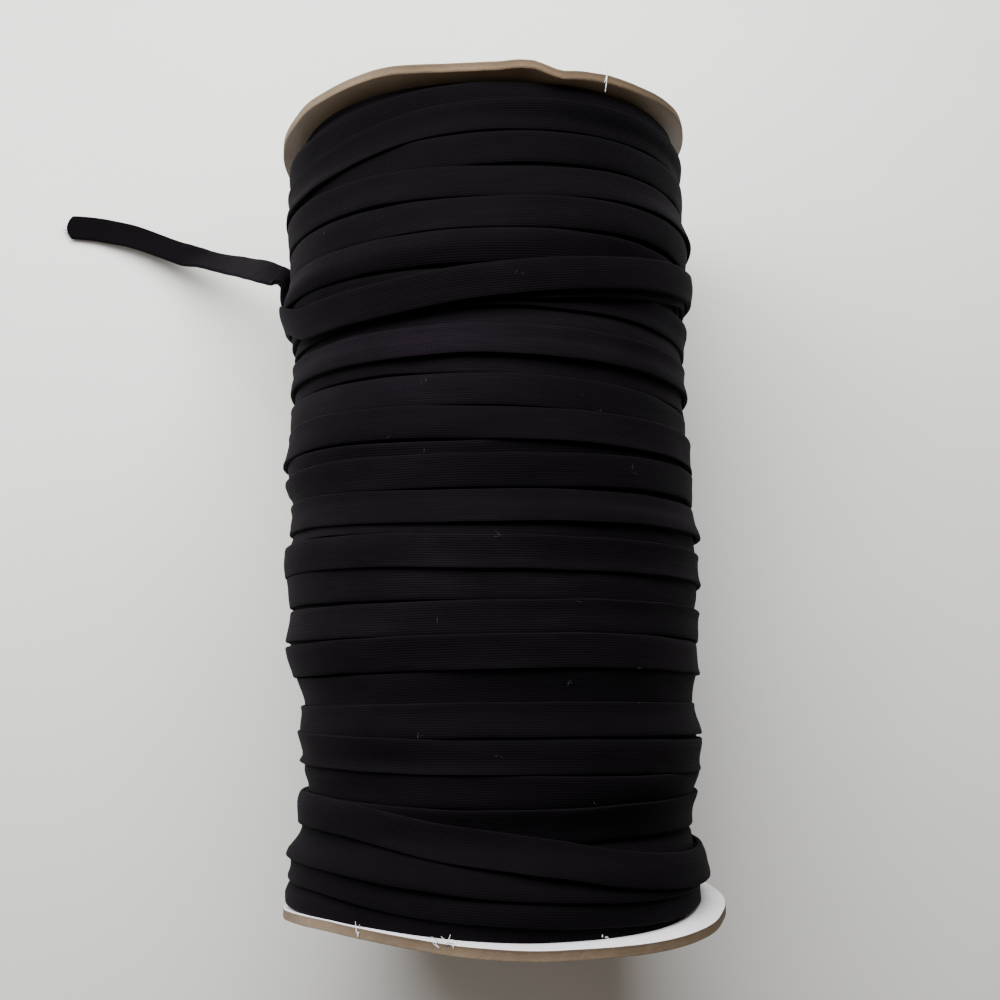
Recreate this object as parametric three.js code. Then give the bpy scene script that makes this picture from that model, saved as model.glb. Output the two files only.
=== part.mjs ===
// A reel of flat braided elastic, lying on its side: the wound elastic between
// two round card flanges, and the free end of the tape, which leaves the
// winding on the left and comes down to the surface.
//
// Millimetres, +Z up. The reel's axis is level, along Y. The origin lies on the
// surface, under the reel's middle. An angle round the reel starts at the top
// and grows towards +X, so +X is at a quarter turn and the surface at a half.

import * as THREE from 'three';

// Driving dimensions

const cardRadius = 45; // flange, 90 mm across
const cardThickness = 2;
const cardEdge = 0.35; // the crushed corner of the cut card edge
const cardSteps = 64;
const innerRings = [15, 30]; // radii of the rings that let a face follow the warp
const restFlat = 0.35; // how far the flange's rim is pressed flat where it rests
const axisHeight = cardRadius - restFlat;

const windingLength = 159; // between the flanges' inner faces, where they are true
const touchGap = 0.3; // between pieces that touch

const tapeWidth = 6.35;
const tapeThickness = 1;
const windingSteps = 40;
const edgeAngle = Math.PI / 3; // how far left and right of the top the turns are given
const grooveDepth = 0.9; // from a turn's face down to the joint with the next one
const shoulder = 0.7; // width of a turn's rounded edge
const endDrop = { far: 2, near: 1 }; // how far the outer turns fall away at each flange
const pressedIn = 1.2; // how much flatter the winding is on its underside

const looseSteps = 48;
// Degrees between the free end's width and the level, by the share of its length:
// it stands on edge beside the reel, turns over at the corner and lies down flat.
const looseLeans = [
  { share: 0, lean: 86 },
  { share: 0.08, lean: 84 },
  { share: 0.12, lean: 38 },
  { share: 0.3, lean: 45 },
  { share: 0.52, lean: 42 },
  { share: 0.63, lean: 18 },
  { share: 0.88, lean: 0 },
  { share: 1, lean: 0 },
];

// How each card flange has warped, as waves along Y round its rim
const farWarp = { cos1: -0.23, sin1: 1.62, cos2: -0.79, sin2: -1.51 };
const nearWarp = { cos1: -0.59, sin1: -0.48, cos2: -0.58, sin2: -1.66 };

// The turns that show, from the far flange to the near one. left, top and right
// are where a turn's lower edge crosses 60 degrees left, the top and 60 degrees
// right. leftRadius and rightRadius are how far its face stands out at its two
// sides. The last turn ends at the near flange, so it has no lower edge.
const turns = [
  { left: 63.5, top: 67.5, right: 69.5, leftRadius: 43.6, rightRadius: 43.7 },
  { left: 56.4, top: 54.5, right: 57.0, leftRadius: 43.7, rightRadius: 43.8 },
  { left: 49.2, top: 48.0, right: 49.2, leftRadius: 44.4, rightRadius: 44.2 },
  { left: 43.5, top: 41.0, right: 45.7, leftRadius: 44.4, rightRadius: 44.4 },
  { left: 33.9, top: 34.1, right: 38.9, leftRadius: 45.5, rightRadius: 44.6 },
  { left: 30.0, top: 28.9, right: 28.0, leftRadius: 43.2, rightRadius: 42.6 },
  { left: 24.7, top: 23.3, right: 22.0, leftRadius: 43.0, rightRadius: 42.2 },
  { left: 22.0, top: 20.1, right: 18.3, leftRadius: 43.0, rightRadius: 41.9 },
  { left: 16.4, top: 13.6, right: 12.6, leftRadius: 43.2, rightRadius: 42.0 },
  { left: 10.1, top: 7.2, right: 7.0, leftRadius: 43.8, rightRadius: 42.0 },
  { left: 0.5, top: -1.5, right: -0.5, leftRadius: 43.9, rightRadius: 42.2 },
  { left: -5.3, top: -8.4, right: -7.5, leftRadius: 43.5, rightRadius: 42.6 },
  { left: -7.9, top: -10.6, right: -11.5, leftRadius: 44.0, rightRadius: 42.8 },
  { left: -13.8, top: -16.0, right: -16.8, leftRadius: 44.3, rightRadius: 42.9 },
  { left: -20.6, top: -21.5, right: -23.0, leftRadius: 43.8, rightRadius: 42.5 },
  { left: -27.3, top: -28.1, right: -28.6, leftRadius: 43.9, rightRadius: 42.0 },
  { left: -34.4, top: -33.8, right: -35.3, leftRadius: 43.0, rightRadius: 41.3 },
  { left: -40.3, top: -39.6, right: -41.3, leftRadius: 41.0, rightRadius: 40.7 },
  { left: -45.0, top: -45.8, right: -48.0, leftRadius: 41.5, rightRadius: 41.5 },
  { left: -50.4, top: -52.8, right: -53.1, leftRadius: 41.3, rightRadius: 42.0 },
  { left: -55.8, top: -58.8, right: -60.5, leftRadius: 40.0, rightRadius: 40.6 },
  { left: -62.8, top: -69.0, right: -73.2, leftRadius: 41.6, rightRadius: 40.0 },
  { left: -70.5, top: -73.6, right: -75.9, leftRadius: 43.6, rightRadius: 41.3 },
  { leftRadius: 44.1, rightRadius: 41.2 },
];

// The middle line of the free end, from the outermost turn's edge to the tip
const looseRoute = [
  { x: -45.3, y: 46.2, z: 40.6 },
  { x: -45.8, y: 48.2, z: 40.8 },
  { x: -46.2, y: 50, z: 41 },
  { x: -46.2, y: 51.6, z: 41.2 },
  { x: -46.1, y: 52.9, z: 41.5 },
  { x: -46.1, y: 53.9, z: 41.8 },
  { x: -46.3, y: 54.9, z: 42 },
  { x: -46.9, y: 55.8, z: 41.8 },
  { x: -48.1, y: 56.5, z: 41 },
  { x: -50.3, y: 57.9, z: 39 },
  { x: -52.9, y: 59.9, z: 35.5 },
  { x: -56.4, y: 62.5, z: 30 },
  { x: -60, y: 65.1, z: 24.6 },
  { x: -63.5, y: 67.5, z: 19.6 },
  { x: -67, y: 69.6, z: 15.6 },
  { x: -70.3, y: 71.5, z: 12.4 },
  { x: -73.5, y: 73.2, z: 9.8 },
  { x: -77.1, y: 74.8, z: 7.6 },
  { x: -81, y: 76.7, z: 5.8 },
  { x: -85.3, y: 78.8, z: 4.5 },
  { x: -89.5, y: 80.8, z: 3.5 },
  { x: -93.7, y: 82.5, z: 2.8 },
  { x: -97.9, y: 83.7, z: 2.2 },
  { x: -102, y: 84.8, z: 1.6 },
  { x: -105.8, y: 85.5, z: 1.3 },
  { x: -109.1, y: 85.9, z: 1.1 },
  { x: -111, y: 85.9, z: 1 },
];

const cardMaterial = new THREE.MeshStandardMaterial({ color: 0x9a8672, roughness: 0.9, metalness: 0 });
const elasticMaterial = new THREE.MeshStandardMaterial({ color: 0x1a161c, roughness: 0.85, metalness: 0 });

// How far a flange has moved along Y, at a radius and an angle. The card is
// held at its middle and bends more the further out it is.
function warpAt(warp, radius, angle) {
  const atRim =
    warp.cos1 * Math.cos(angle) +
    warp.sin1 * Math.sin(angle) +
    warp.cos2 * Math.cos(2 * angle) +
    warp.sin2 * Math.sin(2 * angle);
  return atRim * (radius / cardRadius) ** 2;
}

// A closed solid of rings round the reel's axis. Each row is a function that
// says, for an angle, how far out and how far along the axis the ring lies.
// The first and last rows lie on the axis.
function ringSolid(rows, steps) {
  const outline = rows.map((row, index) => new THREE.Vector2(1, index));
  const geometry = new THREE.LatheGeometry(outline, steps);
  const position = geometry.attributes.position;
  for (let step = 0; step <= steps; step++) {
    const angle = ((step % steps) / steps) * 2 * Math.PI;
    rows.forEach((row, index) => {
      const { radius, along } = row(angle);
      const x = radius * Math.sin(angle);
      const z = Math.max(radius * Math.cos(angle), -axisHeight);
      position.setXYZ(step * rows.length + index, x, along, z);
    });
  }
  geometry.computeVertexNormals();
  return geometry;
}

// A round card flange between two faces, given along the axis. Its rings are
// close enough together to follow the warp, and its cut edge has crushed corners.
function flange(lowFace, highFace, warp) {
  const ring = (radius, face) => (angle) => ({ radius, along: face + warpAt(warp, radius, angle) });
  const faceRadii = [0, ...innerRings, cardRadius - cardEdge];
  const rows = [
    ...faceRadii.map((radius) => ring(radius, lowFace)),
    ring(cardRadius, lowFace + cardEdge),
    ring(cardRadius, highFace - cardEdge),
    ...faceRadii.toReversed().map((radius) => ring(radius, highFace)),
  ];
  return ringSolid(rows, cardSteps);
}

// Where a turn's lower edge runs round the reel: a smooth closed wave through
// its places left of the top, at the top and right of it.
function edgeAlong({ left, top, right }) {
  const tilt = (right - left) / 2 / Math.sin(edgeAngle);
  const bow = ((left + right) / 2 - top) / Math.sin(edgeAngle) ** 2;
  return (angle) => top + tilt * Math.sin(angle) + bow * Math.sin(angle) ** 2;
}

// How far out a turn's face stands: its two measured sides, drawn in underneath
function faceRadius(turn) {
  const middle = (turn.leftRadius + turn.rightRadius) / 2;
  const lean = (turn.rightRadius - turn.leftRadius) / 2;
  return (angle) => middle + lean * Math.sin(angle) - pressedIn * Math.max(0, -Math.cos(angle)) ** 2;
}

// The rows of one end of the winding, from the axis out to the outer turn's
// face, a touch gap short of the flange. inwards points away from the flange.
function endRows(turn, inwards, warp, drop) {
  const face = -inwards * (windingLength / 2 - touchGap);
  const radiusAt = faceRadius(turn);
  const bent = (radius, angle, along) => ({ radius, along: along + warpAt(warp, radius, angle) });
  return [
    (angle) => bent(0, angle, face),
    ...innerRings.map((radius) => (angle) => bent(radius, angle, face)),
    (angle) => bent(radiusAt(angle) - drop, angle, face),
    (angle) => bent(radiusAt(angle), angle, face + inwards * drop),
  ];
}

// The joint between two turns: the upper turn's rounded edge, the groove and
// the lower turn's rounded edge
function jointRows(upper, lower) {
  const edge = edgeAlong(upper);
  const upperFace = faceRadius(upper);
  const lowerFace = faceRadius(lower);
  const groove = (angle) => Math.min(upperFace(angle), lowerFace(angle)) - grooveDepth;
  return [
    (angle) => ({ radius: upperFace(angle), along: edge(angle) + shoulder }),
    (angle) => ({ radius: groove(angle), along: edge(angle) }),
    (angle) => ({ radius: lowerFace(angle), along: edge(angle) - shoulder }),
  ];
}

// The wound elastic, from the near flange to the far one
function winding() {
  const rows = [
    ...endRows(turns[0], -1, farWarp, endDrop.far),
    ...turns.slice(1).flatMap((turn, index) => jointRows(turns[index], turn)),
    ...endRows(turns.at(-1), 1, nearWarp, endDrop.near).toReversed(),
  ];
  return ringSolid(rows.toReversed(), windingSteps);
}

function leanAt(share) {
  const next = Math.max(1, looseLeans.findIndex((stop) => stop.share >= share));
  const before = looseLeans[next - 1];
  const after = looseLeans[next];
  return THREE.MathUtils.mapLinear(share, before.share, after.share, before.lean, after.lean);
}

// A curve that carries a flat tape: the tape's width follows a leaning line
// instead of turning freely about the curve.
class TapeCurve extends THREE.CatmullRomCurve3 {
  computeFrenetFrames(segments) {
    const tangents = [];
    const normals = [];
    const binormals = [];
    for (let index = 0; index <= segments; index++) {
      const share = index / segments;
      const tangent = this.getTangentAt(share).normalize();
      const lean = THREE.MathUtils.degToRad(leanAt(share));
      const width = new THREE.Vector3(0, -Math.cos(lean), Math.sin(lean));
      width.addScaledVector(tangent, -width.dot(tangent)).normalize();
      tangents.push(tangent);
      normals.push(width);
      binormals.push(new THREE.Vector3().crossVectors(tangent, width));
    }
    return { tangents, normals, binormals };
  }
}

// The section of the tape: a flat strip with its edges rounded off
function tapeSection() {
  const halfWidth = tapeWidth / 2;
  const halfThickness = tapeThickness / 2;
  const edge = tapeThickness / 4;
  return new THREE.Shape([
    new THREE.Vector2(-halfWidth + edge, -halfThickness),
    new THREE.Vector2(halfWidth - edge, -halfThickness),
    new THREE.Vector2(halfWidth, -edge),
    new THREE.Vector2(halfWidth, edge),
    new THREE.Vector2(halfWidth - edge, halfThickness),
    new THREE.Vector2(-halfWidth + edge, halfThickness),
    new THREE.Vector2(-halfWidth, edge),
    new THREE.Vector2(-halfWidth, -edge),
  ]);
}

function looseEnd() {
  const points = looseRoute.map(({ x, y, z }) => new THREE.Vector3(x, y, z));
  const curve = new TapeCurve(points, false, 'centripetal');
  return new THREE.ExtrudeGeometry(tapeSection(), {
    steps: looseSteps,
    bevelEnabled: false,
    extrudePath: curve,
  });
}

function addPiece(parent, name, geometry, material) {
  const mesh = new THREE.Mesh(geometry, material);
  mesh.name = name;
  parent.add(mesh);
}

const group = new THREE.Group();
const reel = new THREE.Group();
reel.position.set(0, 0, axisHeight);
group.add(reel);

const farFace = windingLength / 2;
const nearFace = -windingLength / 2;
addPiece(reel, 'winding', winding(), elasticMaterial);
addPiece(reel, 'far_disc', flange(farFace, farFace + cardThickness, farWarp), cardMaterial);
addPiece(reel, 'near_disc', flange(nearFace - cardThickness, nearFace, nearWarp), cardMaterial);
addPiece(group, 'loose_end', looseEnd(), elasticMaterial);

export default group;
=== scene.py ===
# A reel of flat braided elastic between two round card flanges, lying on its side.
# Metres, +Z up, the reel's axis along Y. The sizes in the dictionaries are in
# millimetres. Angles round the reel start at the top and grow towards +X.
import math
import bmesh
import bpy
import numpy as np
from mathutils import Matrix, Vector


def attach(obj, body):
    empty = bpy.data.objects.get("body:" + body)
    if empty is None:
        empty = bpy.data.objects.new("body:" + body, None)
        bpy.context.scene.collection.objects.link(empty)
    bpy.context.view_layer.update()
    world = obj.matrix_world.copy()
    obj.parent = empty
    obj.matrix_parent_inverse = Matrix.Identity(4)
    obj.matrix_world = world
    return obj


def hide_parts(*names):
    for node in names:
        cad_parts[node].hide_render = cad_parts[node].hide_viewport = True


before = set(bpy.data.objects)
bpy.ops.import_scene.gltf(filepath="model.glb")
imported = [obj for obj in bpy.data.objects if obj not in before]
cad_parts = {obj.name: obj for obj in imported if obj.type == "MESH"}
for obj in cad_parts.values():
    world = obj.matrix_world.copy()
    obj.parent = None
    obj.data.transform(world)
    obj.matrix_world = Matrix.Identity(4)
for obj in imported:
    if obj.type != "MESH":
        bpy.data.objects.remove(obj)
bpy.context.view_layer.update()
mm = 0.001

reel = {
    "axisHeight": 44.65,
    "innerFace": 79.5,  # from the middle of the reel to a flange's inner face
    # how far a flange's rim lies along +Y: cosine and sine of once, then of twice round
    "farWarp": (-0.23, 1.62, -0.79, -1.51),
    "nearWarp": (-0.59, -0.48, -0.58, -1.66),
    "cardRadius": 45.0,
}
tape = {
    "width": 6.35,
    "thickness": 1.05,
    "edge": 0.42,  # width of the rounded edge
    "faceColumns": 7,  # points across its upper face
    "edgeColumns": 5,  # points round each edge
}


def linear(hexColour):
    channels = [int(hexColour[at:at + 2], 16) / 255 for at in (1, 3, 5)]
    return [c / 12.92 if c <= 0.04045 else ((c + 0.055) / 1.055) ** 2.4 for c in channels] + [1.0]


def addNode(tree, kind, settings=None, links=None):
    node = tree.nodes.new(kind)
    for name, value in (settings or {}).items():
        if isinstance(name, str) and name in node.bl_rna.properties:
            setattr(node, name, value)
        else:
            node.inputs[name].default_value = value
    for name, source in (links or {}).items():
        tree.links.new(source, node.inputs[name])
    return node


def startMaterial(name):
    material = bpy.data.materials.new(name)
    material.use_nodes = True
    material.node_tree.nodes.clear()
    return material, material.node_tree


def colourRamp(tree, source, stops):
    ramp = addNode(tree, "ShaderNodeValToRGB", links={"Fac": source})
    elements = ramp.color_ramp.elements
    while len(elements) < len(stops):
        elements.new(0.5)
    for element, (place, hexColour) in zip(elements, stops):
        element.position = place
        element.color = linear(hexColour)
    return ramp.outputs["Color"]


def blur(values, reach, axis, wrap=False):
    # a weighted mean over neighbours, round and round where the values close a loop
    size = max(1, int(math.ceil(3 * reach)))
    weights = np.exp(-0.5 * (np.arange(-size, size + 1) / reach) ** 2)
    weights /= weights.sum()
    if wrap:
        before, after = np.take(values, range(-size, 0), axis), np.take(values, range(size), axis)
    else:
        before, after = (np.repeat(np.take(values, [end], axis), size, axis) for end in (0, -1))
    padded = np.concatenate([before, values, after], axis)
    return np.apply_along_axis(lambda row: np.convolve(row, weights, "valid"), axis, padded)


def wander(count, reach, seed, wrap=False):
    # slow, even irregularity about zero
    rough = np.random.default_rng(seed).standard_normal(count)
    smooth = blur(rough, reach, 0, wrap)
    return smooth / smooth.std()


def smoothThrough(knots, values, at):
    # a curve through the values that never overshoots them
    knots, values = np.array(knots, float), np.array(values, float)
    steps = np.diff(knots)
    slopes = np.diff(values) / steps
    tangents = np.zeros(len(knots))
    tangents[0], tangents[-1] = slopes[0], slopes[-1]
    for k in range(1, len(knots) - 1):
        if slopes[k - 1] * slopes[k] > 0:
            before = 2 * steps[k] + steps[k - 1]
            after = steps[k] + 2 * steps[k - 1]
            tangents[k] = (before + after) / (before / slopes[k - 1] + after / slopes[k])
    k = np.clip(np.searchsorted(knots, at) - 1, 0, len(steps) - 1)
    share = (at - knots[k]) / steps[k]
    rise = values[k + 1] - values[k]
    ease = share * share * (3 - 2 * share)
    lead = share * (1 - share) ** 2 * steps[k] * tangents[k]
    trail = share * share * (share - 1) * steps[k] * tangents[k + 1]
    return values[k] + rise * ease + lead + trail


def warpAt(warp, radius, angle):
    # a warped disc bends more the farther out a point lies
    cos1, sin1, cos2, sin2 = warp
    atRim = (cos1 * np.cos(angle) + sin1 * np.sin(angle)
             + cos2 * np.cos(2 * angle) + sin2 * np.sin(2 * angle))
    return atRim * (radius / reel["cardRadius"]) ** 2


def onReel(angle, along, radius):
    # a point by its angle from the top, its place along the axis and its distance from it
    angle, along, radius = np.broadcast_arrays(angle, along, radius)
    return np.stack([radius * np.sin(angle), along, reel["axisHeight"] + radius * np.cos(angle)], -1)


def sweptMesh(name, rings, across, lengthwise, closed=False):
    # rings of points in millimetres, each a closed section, joined one to the next.
    # The UV map "tape" holds the place across the tape and the length along it.
    count, columns = rings.shape[:2]
    links = count if closed else count - 1
    ring, column = np.meshgrid(np.arange(links), np.arange(columns), indexing="ij")
    nextRing, nextColumn = (ring + 1) % count, (column + 1) % columns
    corners = np.stack([
        ring * columns + column, nextRing * columns + column,
        nextRing * columns + nextColumn, ring * columns + nextColumn,
    ], -1).reshape(-1, 4)
    faces = corners.tolist()
    uvs = np.stack([
        np.stack([across[column], lengthwise[ring]], -1),
        np.stack([across[column], lengthwise[ring + 1]], -1),
        np.stack([across[nextColumn], lengthwise[ring + 1]], -1),
        np.stack([across[nextColumn], lengthwise[ring]], -1),
    ], 2).reshape(-1, 2)
    if not closed:
        faces += [list(range(columns)), list(range((count - 1) * columns, count * columns))[::-1]]
        ends = [np.stack([across, np.full(columns, lengthwise[0])], -1),
                np.stack([across, np.full(columns, lengthwise[count - 1])], -1)[::-1]]
        uvs = np.concatenate([uvs] + ends)
    mesh = bpy.data.meshes.new(name)
    mesh.from_pydata((rings.reshape(-1, 3) * mm).tolist(), [], faces)
    layer = mesh.uv_layers.new(name="tape")
    layer.data.foreach_set("uv", uvs.astype(np.float32).ravel())
    mesh.update()
    piece = bpy.data.objects.new(name, mesh)
    bpy.context.scene.collection.objects.link(piece)
    return piece


def onlySelect(*pieces):
    bpy.ops.object.select_all(action="DESELECT")
    for piece in pieces:
        piece.select_set(True)
    bpy.context.view_layer.objects.active = pieces[0]


def facesOutwards(piece):
    onlySelect(piece)
    bpy.ops.object.mode_set(mode="EDIT")
    bpy.ops.mesh.select_all(action="SELECT")
    bpy.ops.mesh.normals_make_consistent(inside=False)
    bpy.ops.object.mode_set(mode="OBJECT")
    bpy.ops.object.shade_smooth()


def joined(name, *pieces):
    onlySelect(*pieces)
    bpy.ops.object.join()
    piece = bpy.context.object
    piece.name = piece.data.name = name
    return piece


# the section of the tape: places across it, how far up its thickness each lies,
# and the same places as shares of its width
def tapeSection():
    flat = tape["width"] / 2 - tape["edge"]
    face = [(u, 1.0) for u in np.linspace(-flat, flat, tape["faceColumns"])]
    turnsRound = np.radians(np.linspace(90, -90, tape["edgeColumns"] + 2)[1:-1])
    right = [(flat + tape["edge"] * math.cos(a), 0.5 + 0.5 * math.sin(a)) for a in turnsRound]
    under = [(flat, 0.0), (-flat, 0.0)]
    left = [(-u, lift) for u, lift in reversed(right)]
    section = np.array(face + right + under + left)
    return section[:, 0], section[:, 1], 0.5 + section[:, 0] / tape["width"]


sectionAcross, sectionLift, sectionShare = tapeSection()
print("helpers ready")

view = {
    "place": (0.0014, -0.0385, 0.30185),
    "tilt": 9.18,  # degrees, from straight down
    "turn": -1.53,
    "lens": 43.2,
    "sensor": 36,
    "nearest": 0.01,
}

camera = bpy.data.objects.new("camera", bpy.data.cameras.new("camera"))
bpy.context.scene.collection.objects.link(camera)
camera.location = view["place"]
camera.rotation_mode = "ZYX"
camera.rotation_euler = (math.radians(view["tilt"]), 0, math.radians(view["turn"]))
camera.data.lens = view["lens"]
camera.data.sensor_width = view["sensor"]
camera.data.clip_start = view["nearest"]
bpy.context.scene.camera = camera
print("camera placed")

braid = {
    "ribs": 14,  # lengthwise ribs over the rubber strands, 0.45 mm each
    "stitches": 8.2,  # yarn crossings in a tape's width of length, 0.77 mm each
    "slant": 0.55,  # of a stitch, in stitches
    "lengths": 0.055,  # the tape is a little dustier here and there along its length
    "dusty": {"From Min": 0.3, "From Max": 0.7, "To Min": 0.62, "To Max": 1.2},
    "streaks": (7, 0.7, 1),  # drawn out along the tape
    "streaky": {"From Min": 0.3, "From Max": 0.7, "To Min": 0.7, "To Max": 1.3},
    # painted shade: the tape is darkened towards both flanges, where less light reaches it, and towards the
    # reel's right; painted light: it is lighter on the reel's left, where light falls from the left
    "farFlangeShade": {"From Min": 0.03, "From Max": 0.072, "To Min": 1.0, "To Max": 0.3},
    "nearFlangeShade": {"From Min": -0.03, "From Max": -0.076, "To Min": 1.0, "To Max": 0.45},
    "sides": {"From Min": -0.045, "From Max": 0.045, "To Min": 1.12, "To Max": 0.75},
    "fuzz": 2600.0,  # a fibre of the yarn is far finer, 0.02 mm, and drawn as 0.4 mm fuzz
    "relief": 0.05 * mm,
    # deep is painted shade for the grooves between ribs and stitches
    "deep": "#060407",
    "yarn": "#09060a",
    "worn": "#110c12",
    "sheen": "#b8aebc",
}


# black polyester braided over rubber strands: matt, soft ribs along the tape
# with small slanting stitches, and a faint bloom of fibres where light grazes it
def braidedPolyester():
    material, tree = startMaterial("braided polyester over rubber")
    uv = addNode(tree, "ShaderNodeUVMap", {"uv_map": "tape"})
    split = addNode(tree, "ShaderNodeSeparateXYZ", links={"Vector": uv.outputs["UV"]})
    ribbed = addNode(tree, "ShaderNodeMath", {"operation": "MULTIPLY", 1: braid["ribs"]},
                     {0: split.outputs["X"]})
    rib = addNode(tree, "ShaderNodeMath", {"operation": "PINGPONG", 1: 0.5}, {0: ribbed.outputs[0]})
    crest = addNode(tree, "ShaderNodeMapRange",
                    {"interpolation_type": "SMOOTHSTEP", "From Min": 0.02, "From Max": 0.4},
                    {"Value": rib.outputs[0]})
    zigzag = addNode(tree, "ShaderNodeMath", {"operation": "PINGPONG", 1: 1.0}, {0: ribbed.outputs[0]})
    slant = addNode(tree, "ShaderNodeMath", {"operation": "MULTIPLY", 1: braid["slant"]},
                    {0: zigzag.outputs[0]})
    stitched = addNode(tree, "ShaderNodeMath", {"operation": "MULTIPLY_ADD", 1: braid["stitches"]},
                       {0: split.outputs["Y"], 2: slant.outputs[0]})
    stitch = addNode(tree, "ShaderNodeMath", {"operation": "PINGPONG", 1: 0.5}, {0: stitched.outputs[0]})
    knot = addNode(tree, "ShaderNodeMapRange",
                   {"interpolation_type": "SMOOTHSTEP", "From Max": 0.42, "To Min": 0.55},
                   {"Value": stitch.outputs[0]})
    yarn = addNode(tree, "ShaderNodeMath", {"operation": "MULTIPLY"},
                   {0: crest.outputs[0], 1: knot.outputs[0]})
    place = addNode(tree, "ShaderNodeTexCoord")
    fuzz = addNode(tree, "ShaderNodeTexNoise", {"Scale": braid["fuzz"], "Detail": 3.0, "Roughness": 0.6},
                   {"Vector": place.outputs["Object"]})
    height = addNode(tree, "ShaderNodeMath", {"operation": "MULTIPLY_ADD", 1: 0.7},
                     {0: fuzz.outputs["Fac"], 2: yarn.outputs[0]})
    bump = addNode(tree, "ShaderNodeBump", {"Strength": 0.8, "Distance": braid["relief"]},
                   {"Height": height.outputs[0]})
    patches = addNode(tree, "ShaderNodeTexNoise", {"Scale": 60.0, "Detail": 4.0, "Roughness": 0.55},
                      {"Vector": place.outputs["Object"]})
    tone = colourRamp(tree, patches.outputs["Fac"], [(0.35, braid["yarn"]), (0.7, braid["worn"])])
    slow = addNode(tree, "ShaderNodeMath", {"operation": "MULTIPLY", 1: braid["lengths"]},
                   {0: split.outputs["Y"]})
    length = addNode(tree, "ShaderNodeTexNoise", {"noise_dimensions": "1D", "Scale": 1.0, "Detail": 2.0},
                     {"W": slow.outputs[0]})
    dusty = addNode(tree, "ShaderNodeMapRange", braid["dusty"], {"Value": length.outputs["Fac"]})
    drawn = addNode(tree, "ShaderNodeVectorMath", {"operation": "MULTIPLY", 1: braid["streaks"]},
                    {0: uv.outputs["UV"]})
    streak = addNode(tree, "ShaderNodeTexNoise", {"Scale": 1.0, "Detail": 3.0, "Roughness": 0.6},
                     {"Vector": drawn.outputs[0]})
    streaky = addNode(tree, "ShaderNodeMapRange", braid["streaky"], {"Value": streak.outputs["Fac"]})
    # painted shade and light: darker towards both flanges and the reel's right, lighter on its left; the
    # dusty streaks are the tape's own
    where = addNode(tree, "ShaderNodeSeparateXYZ", links={"Vector": place.outputs["Object"]})
    farFlangeShade = addNode(tree, "ShaderNodeMapRange", braid["farFlangeShade"], {"Value": where.outputs["Y"]})
    nearFlangeShade = addNode(tree, "ShaderNodeMapRange", braid["nearFlangeShade"], {"Value": where.outputs["Y"]})
    flangeShade = addNode(tree, "ShaderNodeMath", {"operation": "MULTIPLY"},
                      {0: farFlangeShade.outputs[0], 1: nearFlangeShade.outputs[0]})
    litFromLeft = addNode(tree, "ShaderNodeMapRange", braid["sides"], {"Value": where.outputs["X"]})
    paintedShade = addNode(tree, "ShaderNodeMath", {"operation": "MULTIPLY"},
                   {0: flangeShade.outputs[0], 1: litFromLeft.outputs[0]})
    bloom = addNode(tree, "ShaderNodeMath", {"operation": "MULTIPLY"},
                    {0: dusty.outputs[0], 1: streaky.outputs[0]})
    dustAndShade = addNode(tree, "ShaderNodeMath", {"operation": "MULTIPLY"},
                   {0: bloom.outputs[0], 1: paintedShade.outputs[0]})
    dustyShadedTone = addNode(tree, "ShaderNodeMix", {"data_type": "RGBA", "blend_type": "MULTIPLY", 0: 1.0},
                   {6: tone, 7: dustAndShade.outputs[0]})
    # painted shade: the grooves between ribs and stitches take the darker colour deep
    deep = addNode(tree, "ShaderNodeMix", {"data_type": "RGBA", 6: linear(braid["deep"])},
                   {0: yarn.outputs[0], 7: dustyShadedTone.outputs[2]})
    shader = addNode(tree, "ShaderNodeBsdfPrincipled",
                     {"Roughness": 0.85, "IOR": 1.5, "Specular IOR Level": 0.04,
                      "Sheen Weight": 0.015, "Sheen Roughness": 0.5, "Sheen Tint": linear(braid["sheen"])},
                     {"Base Color": deep.outputs[2], "Normal": bump.outputs["Normal"]})
    addNode(tree, "ShaderNodeOutputMaterial", links={"Surface": shader.outputs[0]})
    return material


elastic = braidedPolyester()

card = {
    "board": ("#8a7661", "#a08b74"),
    "fleck": "#6d5a48",
    # painted light: a pale tone laid on the cut edges towards the left, where light falls from the left
    "paintedLeftLight": "#a39482",
    "farLiner": ("#857460", "#6b5b49"),
    "nearLiner": ("#e2e0e4", "#cbc8ce"),
    # the plies of the cut edge, from the inner face to the outer one
    "plies": (0.0, 0.2, 0.45, 0.68, 0.88, 1.0),
    "farCut": ("#6c5d49", "#493d2f", "#554737", "#635341", "#4d4030", "#3b3126"),
    "nearCut": ("#786b5c", "#706150", "#605142", "#554839", "#41352b", "#5c5044"),
    "plyDrift": {"From Min": 0.3, "From Max": 0.7, "To Min": -0.22, "To Max": 0.22},
    "rimWear": {"From Min": 0.3, "From Max": 0.7, "To Min": 0.75, "To Max": 1.25},
    # painted light: how far the cut edges pale towards the left
    "litFromLeft": {"From Min": -0.012, "From Max": -0.042, "To Max": 0.25},  # paler towards the left
}


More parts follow.
